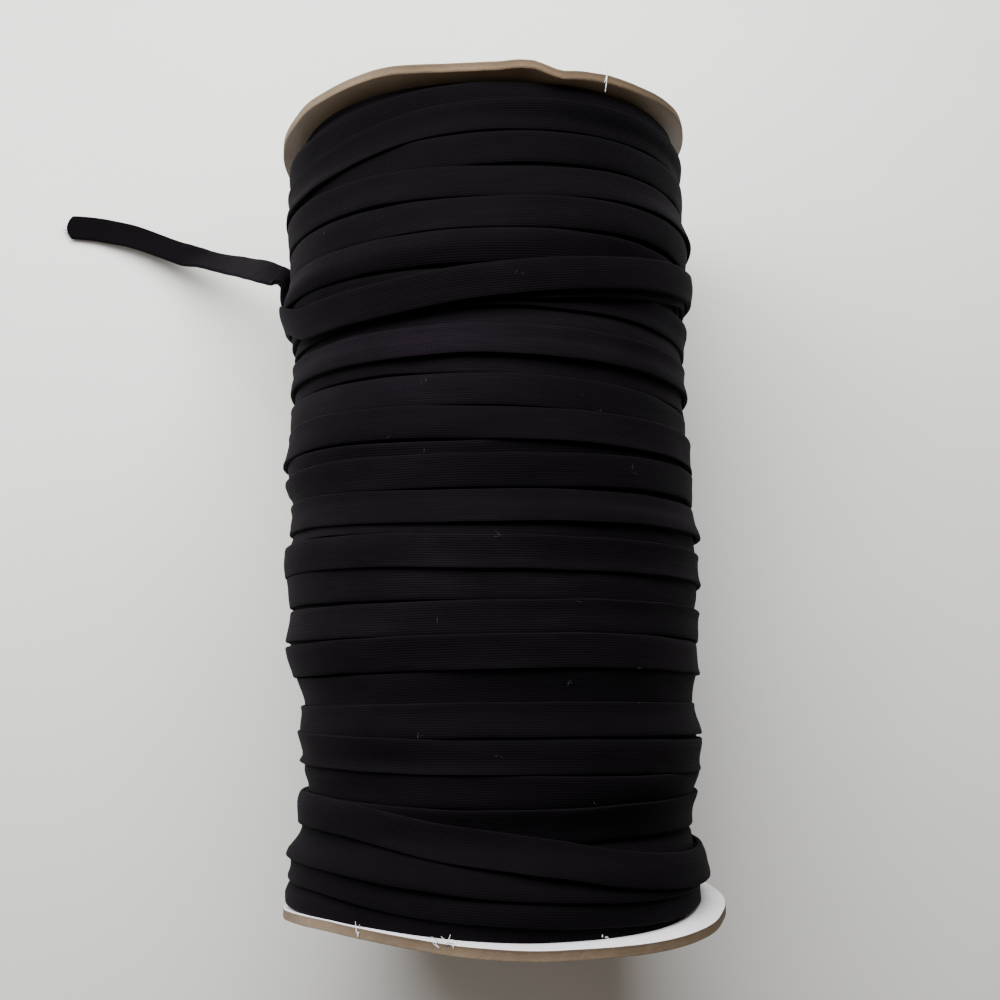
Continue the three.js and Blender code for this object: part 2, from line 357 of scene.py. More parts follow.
# paper pasted on a flange's inner face: calendered smooth, faintly mottled
def paperLiner(name, pale, deep):
    material, tree = startMaterial(name)
    place = addNode(tree, "ShaderNodeTexCoord")
    mottle = addNode(tree, "ShaderNodeTexNoise", {"Scale": 90.0, "Detail": 6.0, "Roughness": 0.6},
                     {"Vector": place.outputs["Object"]})
    tone = colourRamp(tree, mottle.outputs["Fac"], [(0.3, deep), (0.7, pale)])
    fibres = addNode(tree, "ShaderNodeTexNoise", {"Scale": 1500.0, "Detail": 3.0},
                     {"Vector": place.outputs["Object"]})
    bump = addNode(tree, "ShaderNodeBump", {"Strength": 0.3, "Distance": 0.03 * mm},
                   {"Height": fibres.outputs["Fac"]})
    shader = addNode(tree, "ShaderNodeBsdfPrincipled",
                     {"Roughness": 0.6, "IOR": 1.5, "Specular IOR Level": 0.4},
                     {"Base Color": tone, "Normal": bump.outputs["Normal"]})
    addNode(tree, "ShaderNodeOutputMaterial", links={"Surface": shader.outputs[0]})
    return material


# grey-brown board, made of pulped paper: dull, flecked, with a soft tooth
def kraftBoard():
    material, tree = startMaterial("kraft board")
    place = addNode(tree, "ShaderNodeTexCoord")
    cloud = addNode(tree, "ShaderNodeTexNoise", {"Scale": 70.0, "Detail": 6.0, "Roughness": 0.6},
                    {"Vector": place.outputs["Object"]})
    tone = colourRamp(tree, cloud.outputs["Fac"], [(0.3, card["board"][0]), (0.7, card["board"][1])])
    fleck = addNode(tree, "ShaderNodeTexVoronoi", {"Scale": 650.0},
                    {"Vector": place.outputs["Object"]})
    speck = addNode(tree, "ShaderNodeMapRange", {"From Min": 0.02, "From Max": 0.16},
                    {"Value": fleck.outputs["Distance"]})
    flecked = addNode(tree, "ShaderNodeMix", {"data_type": "RGBA", 6: linear(card["fleck"])},
                      {0: speck.outputs[0], 7: tone})
    bump = addNode(tree, "ShaderNodeBump", {"Strength": 0.4, "Distance": 0.05 * mm},
                   {"Height": cloud.outputs["Fac"]})
    shader = addNode(tree, "ShaderNodeBsdfPrincipled",
                     {"Roughness": 0.85, "IOR": 1.5, "Specular IOR Level": 0.3},
                     {"Base Color": flecked.outputs[2], "Normal": bump.outputs["Normal"]})
    addNode(tree, "ShaderNodeOutputMaterial", links={"Surface": shader.outputs[0]})
    return material


# the punched edge of the board: its plies show as uneven bands, darker between
# the liners, torn and rubbed along the rim, and made paler towards the left by painted light
def cutEdge(name, tones):
    material, tree = startMaterial(name)
    ply = addNode(tree, "ShaderNodeAttribute", {"attribute_name": "ply"})
    place = addNode(tree, "ShaderNodeTexCoord")
    drift = addNode(tree, "ShaderNodeTexNoise", {"Scale": 130.0, "Detail": 6.0, "Roughness": 0.7},
                    {"Vector": place.outputs["Object"]})
    shift = addNode(tree, "ShaderNodeMapRange", card["plyDrift"], {"Value": drift.outputs["Fac"]})
    wavy = addNode(tree, "ShaderNodeMath", {"operation": "ADD"},
                   {0: shift.outputs[0], 1: ply.outputs["Fac"]})
    across = addNode(tree, "ShaderNodeMapRange", {"From Min": -1.0, "From Max": 1.0},
                     {"Value": wavy.outputs[0]})
    tone = colourRamp(tree, across.outputs[0], list(zip(card["plies"], tones)))
    patches = addNode(tree, "ShaderNodeTexNoise", {"Scale": 55.0, "Detail": 4.0, "Roughness": 0.6},
                      {"Vector": place.outputs["Object"]})
    worn = addNode(tree, "ShaderNodeMapRange", card["rimWear"], {"Value": patches.outputs["Fac"]})
    # painted light: the edge is made paler towards the left, where light falls from the left
    split = addNode(tree, "ShaderNodeSeparateXYZ", links={"Vector": place.outputs["Object"]})
    paintedLeftLight = addNode(tree, "ShaderNodeMapRange", card["litFromLeft"], {"Value": split.outputs["X"]})
    paler = addNode(tree, "ShaderNodeMix", {"data_type": "RGBA", 7: linear(card["paintedLeftLight"])},
                    {0: paintedLeftLight.outputs[0], 6: tone})
    uneven = addNode(tree, "ShaderNodeMix", {"data_type": "RGBA", "blend_type": "MULTIPLY", 0: 1.0},
                     {6: paler.outputs[2], 7: worn.outputs[0]})
    torn = addNode(tree, "ShaderNodeTexNoise", {"Scale": 700.0, "Detail": 5.0, "Roughness": 0.7},
                   {"Vector": place.outputs["Object"]})
    bump = addNode(tree, "ShaderNodeBump", {"Strength": 0.8, "Distance": 0.2 * mm},
                   {"Height": torn.outputs["Fac"]})
    shader = addNode(tree, "ShaderNodeBsdfPrincipled",
                     {"Roughness": 0.9, "IOR": 1.5, "Specular IOR Level": 0.2},
                     {"Base Color": uneven.outputs[2], "Normal": bump.outputs["Normal"]})
    addNode(tree, "ShaderNodeOutputMaterial", links={"Surface": shader.outputs[0]})
    return material


board = kraftBoard()
farLiner = paperLiner("kraft paper liner", *card["farLiner"])
nearLiner = paperLiner("white paper liner", *card["nearLiner"])
farCut = cutEdge("cut edge of kraft pasteboard", card["farCut"])
nearCut = cutEdge("cut edge of white pasteboard", card["nearCut"])
print("materials ready")


fibre = {
    "rings": 6,
    "sides": 4,
    "bend": 0.5,
    "bendGrowth": 0.6,
    "taper": 0.7,
}


def filament(start, direction, length, thickness, seed):
    # one loose fibre: a thin bent tube with a closed tip
    rng = np.random.default_rng(seed)
    bend = rng.normal(0, fibre["bend"], 3)
    steps = np.linspace(0, 1, fibre["rings"])[:, None]
    direction = direction / np.linalg.norm(direction)
    spine = start + length * (direction * steps + bend * steps ** 2 * fibre["bendGrowth"])
    side = np.cross(direction, [0.3, 0.2, 0.9])
    side /= np.linalg.norm(side)
    other = np.cross(direction, side)
    ringAngles = np.radians(np.arange(fibre["sides"]) * 360 / fibre["sides"])
    thick = thickness * (1 - fibre["taper"] * steps)
    rings = np.stack([spine + thick * (side * math.cos(a) + other * math.sin(a)) for a in ringAngles], 1)
    return sweptMesh("filament", rings, np.full(fibre["sides"], 0.5), np.linspace(0, 0.2, fibre["rings"] + 1))


# how far the near rim bows outwards, by angle from the top
nearBow = [(-150, 0.2), (-95, 1.1), (-75, 1.1), (-60, 0.5), (-45, 0.05), (-33, 0.05), (-22, 0.35),
           (-10, 0.55), (2, 0.45), (15, 0.2), (28, 0.15), (42, 0.4), (58, 0.8), (80, 0.9), (100, 0.8),
           (150, 0.2)]

# Each turn that shows, from the far flange to the near one: the place of its
# middle along Y 60 degrees left of the top, at the top and 60 degrees right of
# it, and how late it was laid over its neighbours.
# The others are in the same degrees and millimetres.
wound = {
    "turns": [
        (72.0, 74.4, 76.2, 0), (66.2, 70.0, 72.4, 2), (61.4, 63.8, 65.7, 0), (58.6, 56.6, 59.4, 1),
        (51.9, 50.5, 52.4, 1), (45.3, 44.2, 44.8, 0), (38.9, 37.4, 42.6, 2), (36.2, 36.4, 35.4, 1),
        (32.9, 31.9, 31.2, 0), (27.9, 26.7, 25.6, 1), (25.2, 23.3, 21.5, 0), (19.0, 16.9, 15.3, 1),
        (12.8, 10.4, 9.6, 1), (6.6, 4.0, 3.6, 0), (3.5, 1.7, 2.6, 1), (-2.2, -4.8, -4.4, 1),
        (-4.7, -7.2, -8.5, 0), (-10.7, -13.1, -14.3, 1), (-17.2, -18.8, -20.2, 0),
        (-24.0, -24.8, -25.7, 1), (-30.9, -30.9, -32.0, 1), (-37.6, -36.9, -38.2, 0),
        (-42.9, -42.8, -44.2, 1), (-48.2, -49.3, -51.0, 2), (-54.0, -55.8, -57.5, 0),
        (-60.0, -61.9, -62.2, 1), (-59.8, -66.0, -72.1, 2), (-66.2, -70.4, -72.8, 1),
        (-70.2, -74.7, -77.3, 0.5), (-75.6, -78.4, -79.0, 0),
    ],
    # the last loop runs over the rest: angles, and the place of its middle there
    "outermost": [(-100, 44.4), (-80, 42.4), (-70, 39.6), (-60, 37.0), (-45, 36.2), (-30, 36.0),
                  (0, 37.5), (30, 40.3), (45, 42.3), (60, 44.2), (70, 45.2), (80, 46.6), (100, 48.0)],
    "extra": {6: [(80, 45.2)]},  # more places of a turn's middle, by its number
    # by how much a turn's far edge stands above its near one
    "leans": {0: 0.3, 2: 0.9, 3: -0.25, 4: -0.1, 5: 0.25, 8: 0.3, 9: -0.2, 10: 0.35, 12: -0.2, 13: 0.4,
              15: -0.2, 16: 0.3, 18: 0.3, 20: -0.25, 21: 0.35, 23: -0.2, 24: 1.1, 25: -0.3, 27: 0.5,
              28: 0.3},
    "start": 74.5,
    "end": -77.5,
    # place along the reel, and the wound face's distance from the axis there, left and right
    "faces": [
        (79, 41.9, 42.2), (76.5, 43.6, 43.6), (71, 43.8, 43.3), (61, 44.0, 43.8), (56, 43.8, 44.6),
        (52, 43.8, 44.7), (47, 44.6, 44.9), (44, 46.2, 43.9), (39, 44.1, 43.9), (36, 43.1, 43.0),
        (33, 43.1, 41.8), (30, 43.0, 42.5), (21, 43.3, 42.1), (16, 44.0, 42.1), (9, 44.8, 42.5),
        (5, 44.0, 42.2), (1, 43.6, 42.3), (-3, 42.9, 43.3), (-6.5, 43.5, 43.1), (-8.5, 44.8, 43.5),
        (-13, 44.3, 42.7), (-20, 43.6, 42.8), (-24, 43.7, 42.2), (-28, 44.5, 42.6), (-32, 43.3, 42.0),
        (-35.5, 42.4, 42.3), (-39, 40.8, 41.0), (-43.5, 41.9, 40.6), (-48, 41.8, 42.1),
        (-50.5, 40.1, 41.5), (-53, 42.0, 40.8), (-55.5, 40.7, 41.3), (-58, 42.0, 40.7),
        (-60, 42.2, 39.9), (-63, 41.4, 39.3), (-67, 43.5, 40.7), (-70, 44.2, 42.3), (-72, 43.6, 42.4),
        (-74, 43.0, 42.0), (-76, 44.7, 41.9), (-78, 44.4, 41.5), (-81, 42.4, 40.4),
    ],
    # how far the last turns press out past the near disc's flat face, by angle
    "nearRoom": [(-95, 0.65), (-60, 0.3), (-40, 0.05), (-22, 0.2), (2, 0.48), (42, 0.45), (90, 0.5),
                 (150, 0.1)],
    "farGap": 0.15,
    "nearPress": 0.2,
    "flankRadii": (43, 42),  # where the warp of the far and the near disc counts for the turns
    "crown": (0.7, -81, 3.5),  # the winding is fuller on top, beside the near flange: height, place, reach
    "fullness": 0.42,  # the tape's faces stand this much above the mean of the wound face
    "pressedIn": 1.2,  # how much flatter the underside is
    "samples": 120,  # of a turn
    "cell": 0.2,  # of the bed that the turns are laid on
    "underDepth": 2.1,  # of the layers below the turns that show
    "underRipple": 0.35,
    "pitch": 6.3,  # of those layers' turns
    "slump": (78, -66.6, 36, 2.3, 1.2),  # a heap under the last turns: angle, place, both reaches, height
    "wander": 0.16,  # slow drift of the course
    "fret": 0.05,  # small irregularities of the course
    "swell": 0.08,  # rise and fall along its way
    "rock": 0.22,  # the tape rocks from side to side a little along its way
    "seam": 150,  # past this angle the turns run from one place to the next
}
# how a tape lies on what is beneath it
bedding = {
    "flatness": 0.6,  # how far the tape keeps straight across its width
    "restsAt": 0.36,  # of its width, on either side of its middle
    "softness": 0.7,
    "sinks": 0.1,
    "lengthwise": 2.2,  # samples of a turn over which it evens out
    "fine": 0.3,
    "gives": 0.12,
}
# the start of the free end, which lies aslant under the last turns laid
tuck = {"angle": -98.9, "place": 46.4, "radius": 45, "length": 13, "halfWidth": 3.6, "lift": 0.9}
# the closed body beneath the turns that show
underBody = {
    "from": -80.4,
    "to": 80.6,
    "step": 1.5,
    "sunk": 0.05,
    "inset": 0.3,  # from the flanges' inner faces
    "hubRadius": 8.0,
    "hubInset": 1.2,
}

perTurn = wound["samples"]
angles = np.radians(np.arange(perTurn) * 360 / perTurn - 180)
turnAngles = np.radians(np.arange(perTurn + 1) * 360 / perTurn - 180)
cells = np.arange(-85, 87, wound["cell"])
bedAcross = np.linspace(-tape["width"] / 2, tape["width"] / 2, 33)
bedStep = bedAcross[1] - bedAcross[0]


def faceHeight(along, angle):
    places, lefts, rights = np.array(wound["faces"][::-1]).T
    left, right = np.interp(along, places, lefts), np.interp(along, places, rights)
    under = np.maximum(0, -np.cos(angle)) ** 2
    height, place, reach = wound["crown"]
    crown = np.exp(-((along - place) / reach) ** 2) * np.maximum(0, np.cos(angle))
    return (left + right) / 2 + (right - left) / 2 * np.sin(angle) - wound["pressedIn"] * under \
        + height * crown


def sampled(field, along):
    rows = (np.arange(along.shape[0]) % perTurn)[:, None]
    place = np.clip((along - cells[0]) / wound["cell"], 0, len(cells) - 1.001)
    index = place.astype(int)
    share = place - index
    return field[rows, index] * (1 - share) + field[rows, index + 1] * share


def restingUnderside(field, centres):
    # a tape laid over the bed bridges its hollows, across and lengthwise
    bed = sampled(field, centres[:, None] + bedAcross)
    half = len(bedAcross) // 2
    low, high = bed[:, :half].max(1), bed[:, half + 1:].max(1)
    reach = bedding["restsAt"] * tape["width"]
    straight = ((low + high) / 2)[:, None] + ((high - low) / 2)[:, None] / reach * bedAcross
    soft = blur(bed, bedding["softness"] / bedStep, 1)
    rest = bedding["flatness"] * straight + (1 - bedding["flatness"]) * soft
    rest = blur(np.maximum(rest, bed - bedding["sinks"]), bedding["lengthwise"], 0)
    return np.maximum(rest, blur(bed, bedding["fine"] / bedStep, 1) - bedding["gives"])


def layOnto(field, centres, underside):
    over = np.abs(bedAcross) - (tape["width"] / 2 - tape["edge"])
    rounded = 0.5 + 0.5 * np.sqrt(np.clip(1 - np.maximum(0, over / tape["edge"]) ** 2, 0, 1))
    outer = underside + tape["thickness"] * rounded
    for row, centre in enumerate(centres):
        first, last = np.searchsorted(cells, (centre - tape["width"] / 2, centre + tape["width"] / 2))
        here = field[row % perTurn, first:last]
        np.maximum(here, np.interp(cells[first:last] - centre, bedAcross, outer[row]), out=here)


def tuckedUnder():
    # by how much the start of the free end lifts what lies over it
    angleGrid, alongGrid = np.meshgrid(angles, cells, indexing="ij")
    around = (angleGrid - math.radians(tuck["angle"])) * tuck["radius"]
    away = alongGrid - tuck["place"]
    run = (-away - around) * math.sqrt(0.5)
    aside = np.abs(away - around) * math.sqrt(0.5)
    inRun = np.clip((run + 1) / 2, 0, 1) * np.clip((tuck["length"] - run) / 4, 0, 1)
    inWidth = np.clip(tuck["halfWidth"] - aside, 0, 1)
    return tuck["lift"] * inRun * inWidth


def clearOfFlanges(centres, angle):
    farRadius, nearRadius = wound["flankRadii"]
    half = tape["width"] / 2
    far = reel["innerFace"] + warpAt(reel["farWarp"], farRadius, angle) - half - wound["farGap"]
    near = -reel["innerFace"] + warpAt(reel["nearWarp"], nearRadius, angle) + half - wound["nearPress"]
    near -= np.interp(np.degrees(angle), *zip(*wound["nearRoom"]))
    return np.clip(centres, near, far)


def woundElastic():
    turns = wound["turns"]
    knots, values = [-180], [wound["start"]]
    for k, (left, top, right, _) in enumerate(turns):
        places = [(-60, left), (0, top), (60, right)] + wound["extra"].get(k, [])
        knots += [360 * k + angle for angle, _ in places]
        values += [place for _, place in places]
    knots.append(360 * len(turns) - 180)
    values.append(wound["end"])
    total = perTurn * len(turns) + 1
    course = np.arange(total) * 360 / perTurn - 180
    centreLine = smoothThrough(knots, values, course)
    centreLine += wound["wander"] * wander(total, 7, 3) + wound["fret"] * wander(total, 1.4, 4)
    centreLine = clearOfFlanges(centreLine, np.radians(course))
    loop = wound["outermost"]
    loop = [(angle + around, place) for around in (-360, 0, 360) for angle, place in loop]
    ringLine = smoothThrough(*zip(*loop), np.degrees(turnAngles))
    ringLine += 0.5 * wound["wander"] * wander(perTurn, 8, 5, True)[np.arange(perTurn + 1) % perTurn]

    envelope = faceHeight(cells[None, :], angles[:, None])
    ripple = np.abs(np.cos(np.pi * (cells + 0.8 * np.sin(cells / 9)) / wound["pitch"]))[None, :]
    under = envelope - wound["underDepth"] + wound["underRipple"] * ripple
    middle, place, reachAround, reachAlong, height = wound["slump"]
    around = (np.degrees(angles)[:, None] - middle) / reachAround
    aside = (cells[None, :] - place) / reachAlong
    under += height * np.exp(-(around ** 2 + aside ** 2))
    field = under.copy()

    centres = [centreLine[k * perTurn:(k + 1) * perTurn + 1] for k in range(len(turns))]
    centres.append(ringLine)
    layers = [turn[3] for turn in turns] + [3]
    undersides = [None] * len(centres)
    for k in sorted(range(len(centres)), key=lambda k: layers[k]):
        if k in (6, len(turns)):  # both run over the start of the free end
            field = field + 0.5 * tuckedUnder()
        undersides[k] = restingUnderside(field, centres[k])
        undersides[k] += wound["leans"].get(k, 0) * bedAcross / tape["width"]
        layOnto(field, centres[k], undersides[k])

    # the sides of the whole winding are brought to the real reel's
    reachCells = int(3.2 / wound["cell"])
    highest = np.max([np.roll(field, shift, 1) for shift in range(-reachCells, reachCells + 1)], 0)
    settle = wound["fullness"] + blur(blur(envelope - highest, 2.0 / wound["cell"], 1), 2.0, 0, True)
    seamRows = np.degrees(np.abs(angles)) > wound["seam"]
    share = ((np.degrees(angles) - wound["seam"]) % 360) / (360 - 2 * wound["seam"])
    first = settle[np.argmin(np.abs(np.degrees(angles) - wound["seam"]))]
    last = settle[np.argmin(np.abs(np.degrees(angles) + wound["seam"]))]
    settle[seamRows] = first + (last - first) * share[seamRows][:, None]

    def tapeRings(line, underside, angle):
        low = np.array([np.interp(sectionAcross, bedAcross, row) for row in underside])
        along = line[:, None] + sectionAcross
        radius = low + tape["thickness"] * sectionLift + sampled(settle, along)
        return along, radius

    # round the underside a turn's height runs smoothly into the next turn's
    edgeRow = int(round((180 - wound["seam"]) / 360 * perTurn))
    ease = np.linspace(0, 1, 2 * edgeRow + 1)
    ease = (ease * ease * (3 - 2 * ease))[:, None]
    strip = np.concatenate([rows[:-1] for rows in undersides[:-1]] + [undersides[-2][-1:]])
    for k in range(1, len(turns)):
        at = k * perTurn
        before, after = strip[at - edgeRow].copy(), strip[at + edgeRow].copy()
        strip[at - edgeRow:at + edgeRow + 1] = before + (after - before) * ease
    strip += wound["swell"] * wander(total, 3, 11)[:, None]
    strip += wound["rock"] * wander(total, 4, 12)[:, None] * bedAcross / tape["width"]
    strip += 0.4 * wound["swell"] * blur(np.random.default_rng(13).standard_normal(strip.shape), 1.2, 0) \
        @ np.exp(-0.5 * ((bedAcross[:, None] - bedAcross) / 1.1) ** 2)
    ringUnder = undersides[-1][:-1].copy()
    before, after = ringUnder[-edgeRow].copy(), ringUnder[edgeRow].copy()
    blend = before + (after - before) * ease
    ringUnder[-edgeRow:], ringUnder[:edgeRow + 1] = blend[:edgeRow], blend[edgeRow:]

    courseAngle = np.radians(course)
    along, radius = tapeRings(centreLine, strip, courseAngle)
    length = np.concatenate([course, [course[-1] + 3]]) / 360 * 2 * math.pi * 43.5 / tape["width"]
    turnsPiece = sweptMesh("turns", onReel(courseAngle[:, None], along, radius), sectionShare, length)

    along, radius = tapeRings(ringLine[:-1], ringUnder, angles)
    length = np.arange(perTurn + 1) / perTurn * round(2 * math.pi * 45 / tape["width"] * braid["stitches"])
    outermost = sweptMesh("outermost", onReel(angles[:, None], along, radius), sectionShare,
                          length / braid["stitches"], closed=True)

    # the layers beneath, as one closed body that the gaps between turns show
    places = np.arange(underBody["from"], underBody["to"], underBody["step"])
    rows = np.array([np.interp(places, cells, row) for row in under + settle])[::2] - underBody["sunk"]
    rowAngles = angles[::2]
    hub = underBody["hubRadius"]

    def insideFlanges(inset, radius):
        near = -reel["innerFace"] + inset + warpAt(reel["nearWarp"], radius, rowAngles)
        far = reel["innerFace"] - inset + warpAt(reel["farWarp"], radius, rowAngles)
        return near[:, None], far[:, None]

    near, far = insideFlanges(underBody["inset"], 40)
    nearHub, farHub = insideFlanges(underBody["hubInset"], hub)
    core = np.concatenate([
        onReel(rowAngles[:, None], nearHub, hub),
        onReel(rowAngles[:, None], np.clip(places[None, :], near, far), rows),
        onReel(rowAngles[:, None], farHub, hub),
    ], 1)
    columnShare = np.concatenate([[0], (places / wound["pitch"]) % 1, [0]])
    coreLength = np.arange(len(rowAngles) + 1) / len(rowAngles) * 43
    core = sweptMesh("core", core, columnShare, coreLength, closed=True)

    piece = joined("wound_elastic", turnsPiece, outermost, core)
    facesOutwards(piece)
    piece.data.materials.clear()
    piece.data.materials.append(elastic)
    return piece


# bits of lint that cling to the tape: angle round the reel and place along it
lint = {
    "seen": [(-16.3, 19.6), (28.5, 14.0), (38.8, 2.8), (1.6, -10.7), (-19.6, -45.5), (-0.7, -49.4),
             (18.1, -36.7), (8.0, 38.2)],
    "others": 26,
    "reach": (-76, 74),
    "scatter": (0.5, 0.35),
    "length": (0.4, 1.2),
    "thickness": 0.035,
    "colour": "#3a3437",
}


def lintMaterial():
    # greyish cotton and paper dust
    material, tree = startMaterial("cotton lint")
    shader = addNode(tree, "ShaderNodeBsdfPrincipled",
                     {"Base Color": linear(lint["colour"]), "Roughness": 1.0})
    addNode(tree, "ShaderNodeOutputMaterial", links={"Surface": shader.outputs[0]})
    return material


def clingingLint(piece):
    rng = np.random.default_rng(17)
    spots = [spot for spot in lint["seen"] for _ in range(3)]
    spots += list(zip(rng.uniform(-180, 180, lint["others"]), rng.uniform(*lint["reach"], lint["others"])))
    offAngle, offAlong = lint["scatter"]
    bits = []
    for k, (degrees, along) in enumerate(spots):
        angle, along = math.radians(degrees + rng.normal(0, offAngle)), along + rng.normal(0, offAlong)
        inwards = Vector((-math.sin(angle), 0, -math.cos(angle)))
        hit, place, normal, _ = piece.ray_cast(Vector(onReel(angle, along, 60.0) * mm), inwards)
        if not hit:
            continue
        outwards = -np.array(inwards)
        direction = np.cross(outwards, rng.normal(0, 1, 3)) + 0.15 * outwards
        start = np.array(place) / mm + 0.05 * outwards
        length = rng.uniform(*lint["length"])
        bits.append(filament(start, direction, length, lint["thickness"], 300 + k))
    dust = joined("lint", *bits)
    dust.data.materials.clear()
    dust.data.materials.append(lintMaterial())
    return dust


woundPiece = woundElastic()
woundPiece = joined("wound_elastic", woundPiece, clingingLint(woundPiece))
facesOutwards(woundPiece)
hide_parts("winding")
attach(woundPiece, "root")
print("winding made,", len(woundPiece.data.polygons), "faces")

free = {
    # its start, out of sight under the turns laid over it
    "tucked": [(-42.6, 37.2, 38.6), (-43.6, 40.4, 39.4), (-44.5, 43.4, 40.1)],
    # the middle line of the free end, from the outermost turn's edge to the tip
    "route": [
        (-45.3, 46.2, 40.6), (-45.8, 48.2, 40.8), (-46.2, 50.0, 41.0), (-46.2, 51.6, 41.2),
        (-46.1, 52.9, 41.5), (-46.1, 53.9, 41.8), (-46.3, 54.9, 42.0), (-46.9, 55.8, 41.8),
        (-48.1, 56.5, 41.0), (-50.3, 57.9, 39.0), (-52.9, 59.9, 35.5), (-56.4, 62.5, 30.0),
        (-60.0, 65.1, 24.6), (-63.5, 67.5, 19.6), (-67.0, 69.6, 15.6), (-70.3, 71.5, 12.4),
        (-73.5, 73.2, 9.8), (-77.1, 74.8, 7.6), (-81.0, 76.7, 5.8), (-85.3, 78.8, 4.5),
        (-89.5, 80.8, 3.5), (-93.7, 82.5, 2.8), (-97.9, 83.7, 2.2), (-102.0, 84.8, 1.6),
        (-105.8, 85.5, 1.3), (-109.1, 85.9, 1.1), (-111.0, 85.9, 1.0),
    ],
    # degrees between the tape's width and the level, by how far along it is
    "leans": [(0, 86), (7.7, 84), (8.6, 58), (9.4, 40), (11.5, 36), (16, 38), (22, 43), (30, 45),
              (40, 43), (50, 42), (54, 38), (57, 28), (61, 15), (64, 20), (72, 16), (80, 7), (86, 0),
              (97, 0)],
    "samples": 260,
    # at the corner its sections turn ahead of the middle line: where, how far, and how soon that ends
    "fold": (7.9, 2.4, 1.4),
    "slantCut": 0.3,
    "roundedCut": 1.5,  # the corners of the cut are worn back this much
    "cutReach": 9,
    "curl": 0.16,
    "floorGap": 0.1,
    "fray": 34,  # yarn ends at the cut
    "frayLength": (0.6, 1.6),
    "frayThickness": 0.06,
}
spanSteps = 24


def centripetal(points):
    # the smooth curve through the points that the solid's route follows
    points = np.array(points, float)
    points = np.concatenate([[2 * points[0] - points[1]], points, [2 * points[-1] - points[-2]]])
    curve = []
    for p0, p1, p2, p3 in zip(points, points[1:], points[2:], points[3:]):
        t = np.cumsum([0] + [np.linalg.norm(b - a) ** 0.5 for a, b in ((p0, p1), (p1, p2), (p2, p3))])
        for at in np.linspace(t[1], t[2], spanSteps, endpoint=False):
            a1 = p0 + (p1 - p0) * (at - t[0]) / (t[1] - t[0])
            a2 = p1 + (p2 - p1) * (at - t[1]) / (t[2] - t[1])
            a3 = p2 + (p3 - p2) * (at - t[2]) / (t[3] - t[2])
            b1 = a1 + (a2 - a1) * (at - t[0]) / (t[2] - t[0])
            b2 = a2 + (a3 - a2) * (at - t[1]) / (t[3] - t[1])
            curve.append(b1 + (b2 - b1) * (at - t[1]) / (t[2] - t[1]))
    curve.append(points[-2])
    return np.array(curve)


def freeEnd():
    curve = centripetal(free["tucked"] + free["route"])
    lengths = np.concatenate([[0], np.cumsum(np.linalg.norm(np.diff(curve, axis=0), axis=1))])
    total = lengths[-1]
    hidden = lengths[spanSteps * len(free["tucked"])]

    def at(places):
        return np.stack([np.interp(places, lengths, curve[:, axis]) for axis in range(3)], -1)

    stops = np.linspace(0, total, free["samples"])
    cut = free["slantCut"] * (0.5 - sectionAcross / tape["width"])
    cut = cut + free["roundedCut"] * (2 * sectionAcross / tape["width"]) ** 2
    nearTip = np.clip((stops - total + free["cutReach"]) / free["cutReach"], 0, 1)[:, None] ** 2
    places = stops[:, None] - nearTip * cut
    middle = at(places)
    folds, reach, soon = free["fold"]
    past = places - hidden - folds
    skew = reach * np.clip((past + 0.8) / 0.8, 0, 1) * np.exp(-np.maximum(past, 0) / soon)
    ahead = at(np.minimum(places + skew + 0.4, total)) - at(np.maximum(places + skew - 0.4, 0))
    ahead /= np.linalg.norm(ahead, axis=-1, keepdims=True)
    lean = np.radians(np.interp(places - hidden, *zip(*free["leans"])))
    width = np.stack([np.zeros_like(lean), -np.cos(lean), np.sin(lean)], -1)
    width -= ahead * (width * ahead).sum(-1, keepdims=True)
    width /= np.linalg.norm(width, axis=-1, keepdims=True)
    out = np.cross(ahead, width)
    cup = free["curl"] * ((2 * sectionAcross / tape["width"]) ** 2 - 0.4)
    lift = (sectionLift - 0.5) * tape["thickness"] + cup
    rings = middle + width * sectionAcross[None, :, None] + out * lift[None, :, None]
    rings[..., 2] = np.maximum(rings[..., 2], free["floorGap"])
    length = np.concatenate([stops, [total + 1]]) / tape["width"]
    strip = sweptMesh("strip", rings, sectionShare, length)
    fibres = []
    rng = np.random.default_rng(21)
    for k in range(free["fray"]):
        u, w = rng.uniform(-0.48, 0.48) * tape["width"], rng.uniform(-0.35, 0.35)
        place = total - free["slantCut"] * (0.5 - u / tape["width"]) - 0.3
        place -= free["roundedCut"] * (2 * u / tape["width"]) ** 2
        here, toward = at(np.array([place]))[0], ahead[-1, 0]
        start = here + width[-1, 0] * u + out[-1, 0] * w
        toward = toward + rng.normal(0, 0.22, 3) * (1, 1, 0.3)
        longWay = rng.uniform(*free["frayLength"])
        fibres.append(filament(start, toward, longWay, free["frayThickness"], 100 + k))
    piece = joined("free_end", strip, *fibres)
    piece.data.materials.clear()
    piece.data.materials.append(elastic)
    facesOutwards(piece)
    path = [tuple(point * mm) for point in at(np.linspace(0, total, 40))]
    return piece, path, total * mm


freePiece, freePath, freeLength = freeEnd()
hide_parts("loose_end")
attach(freePiece, "root")
print("free end made,", round(freeLength, 4), "m long")

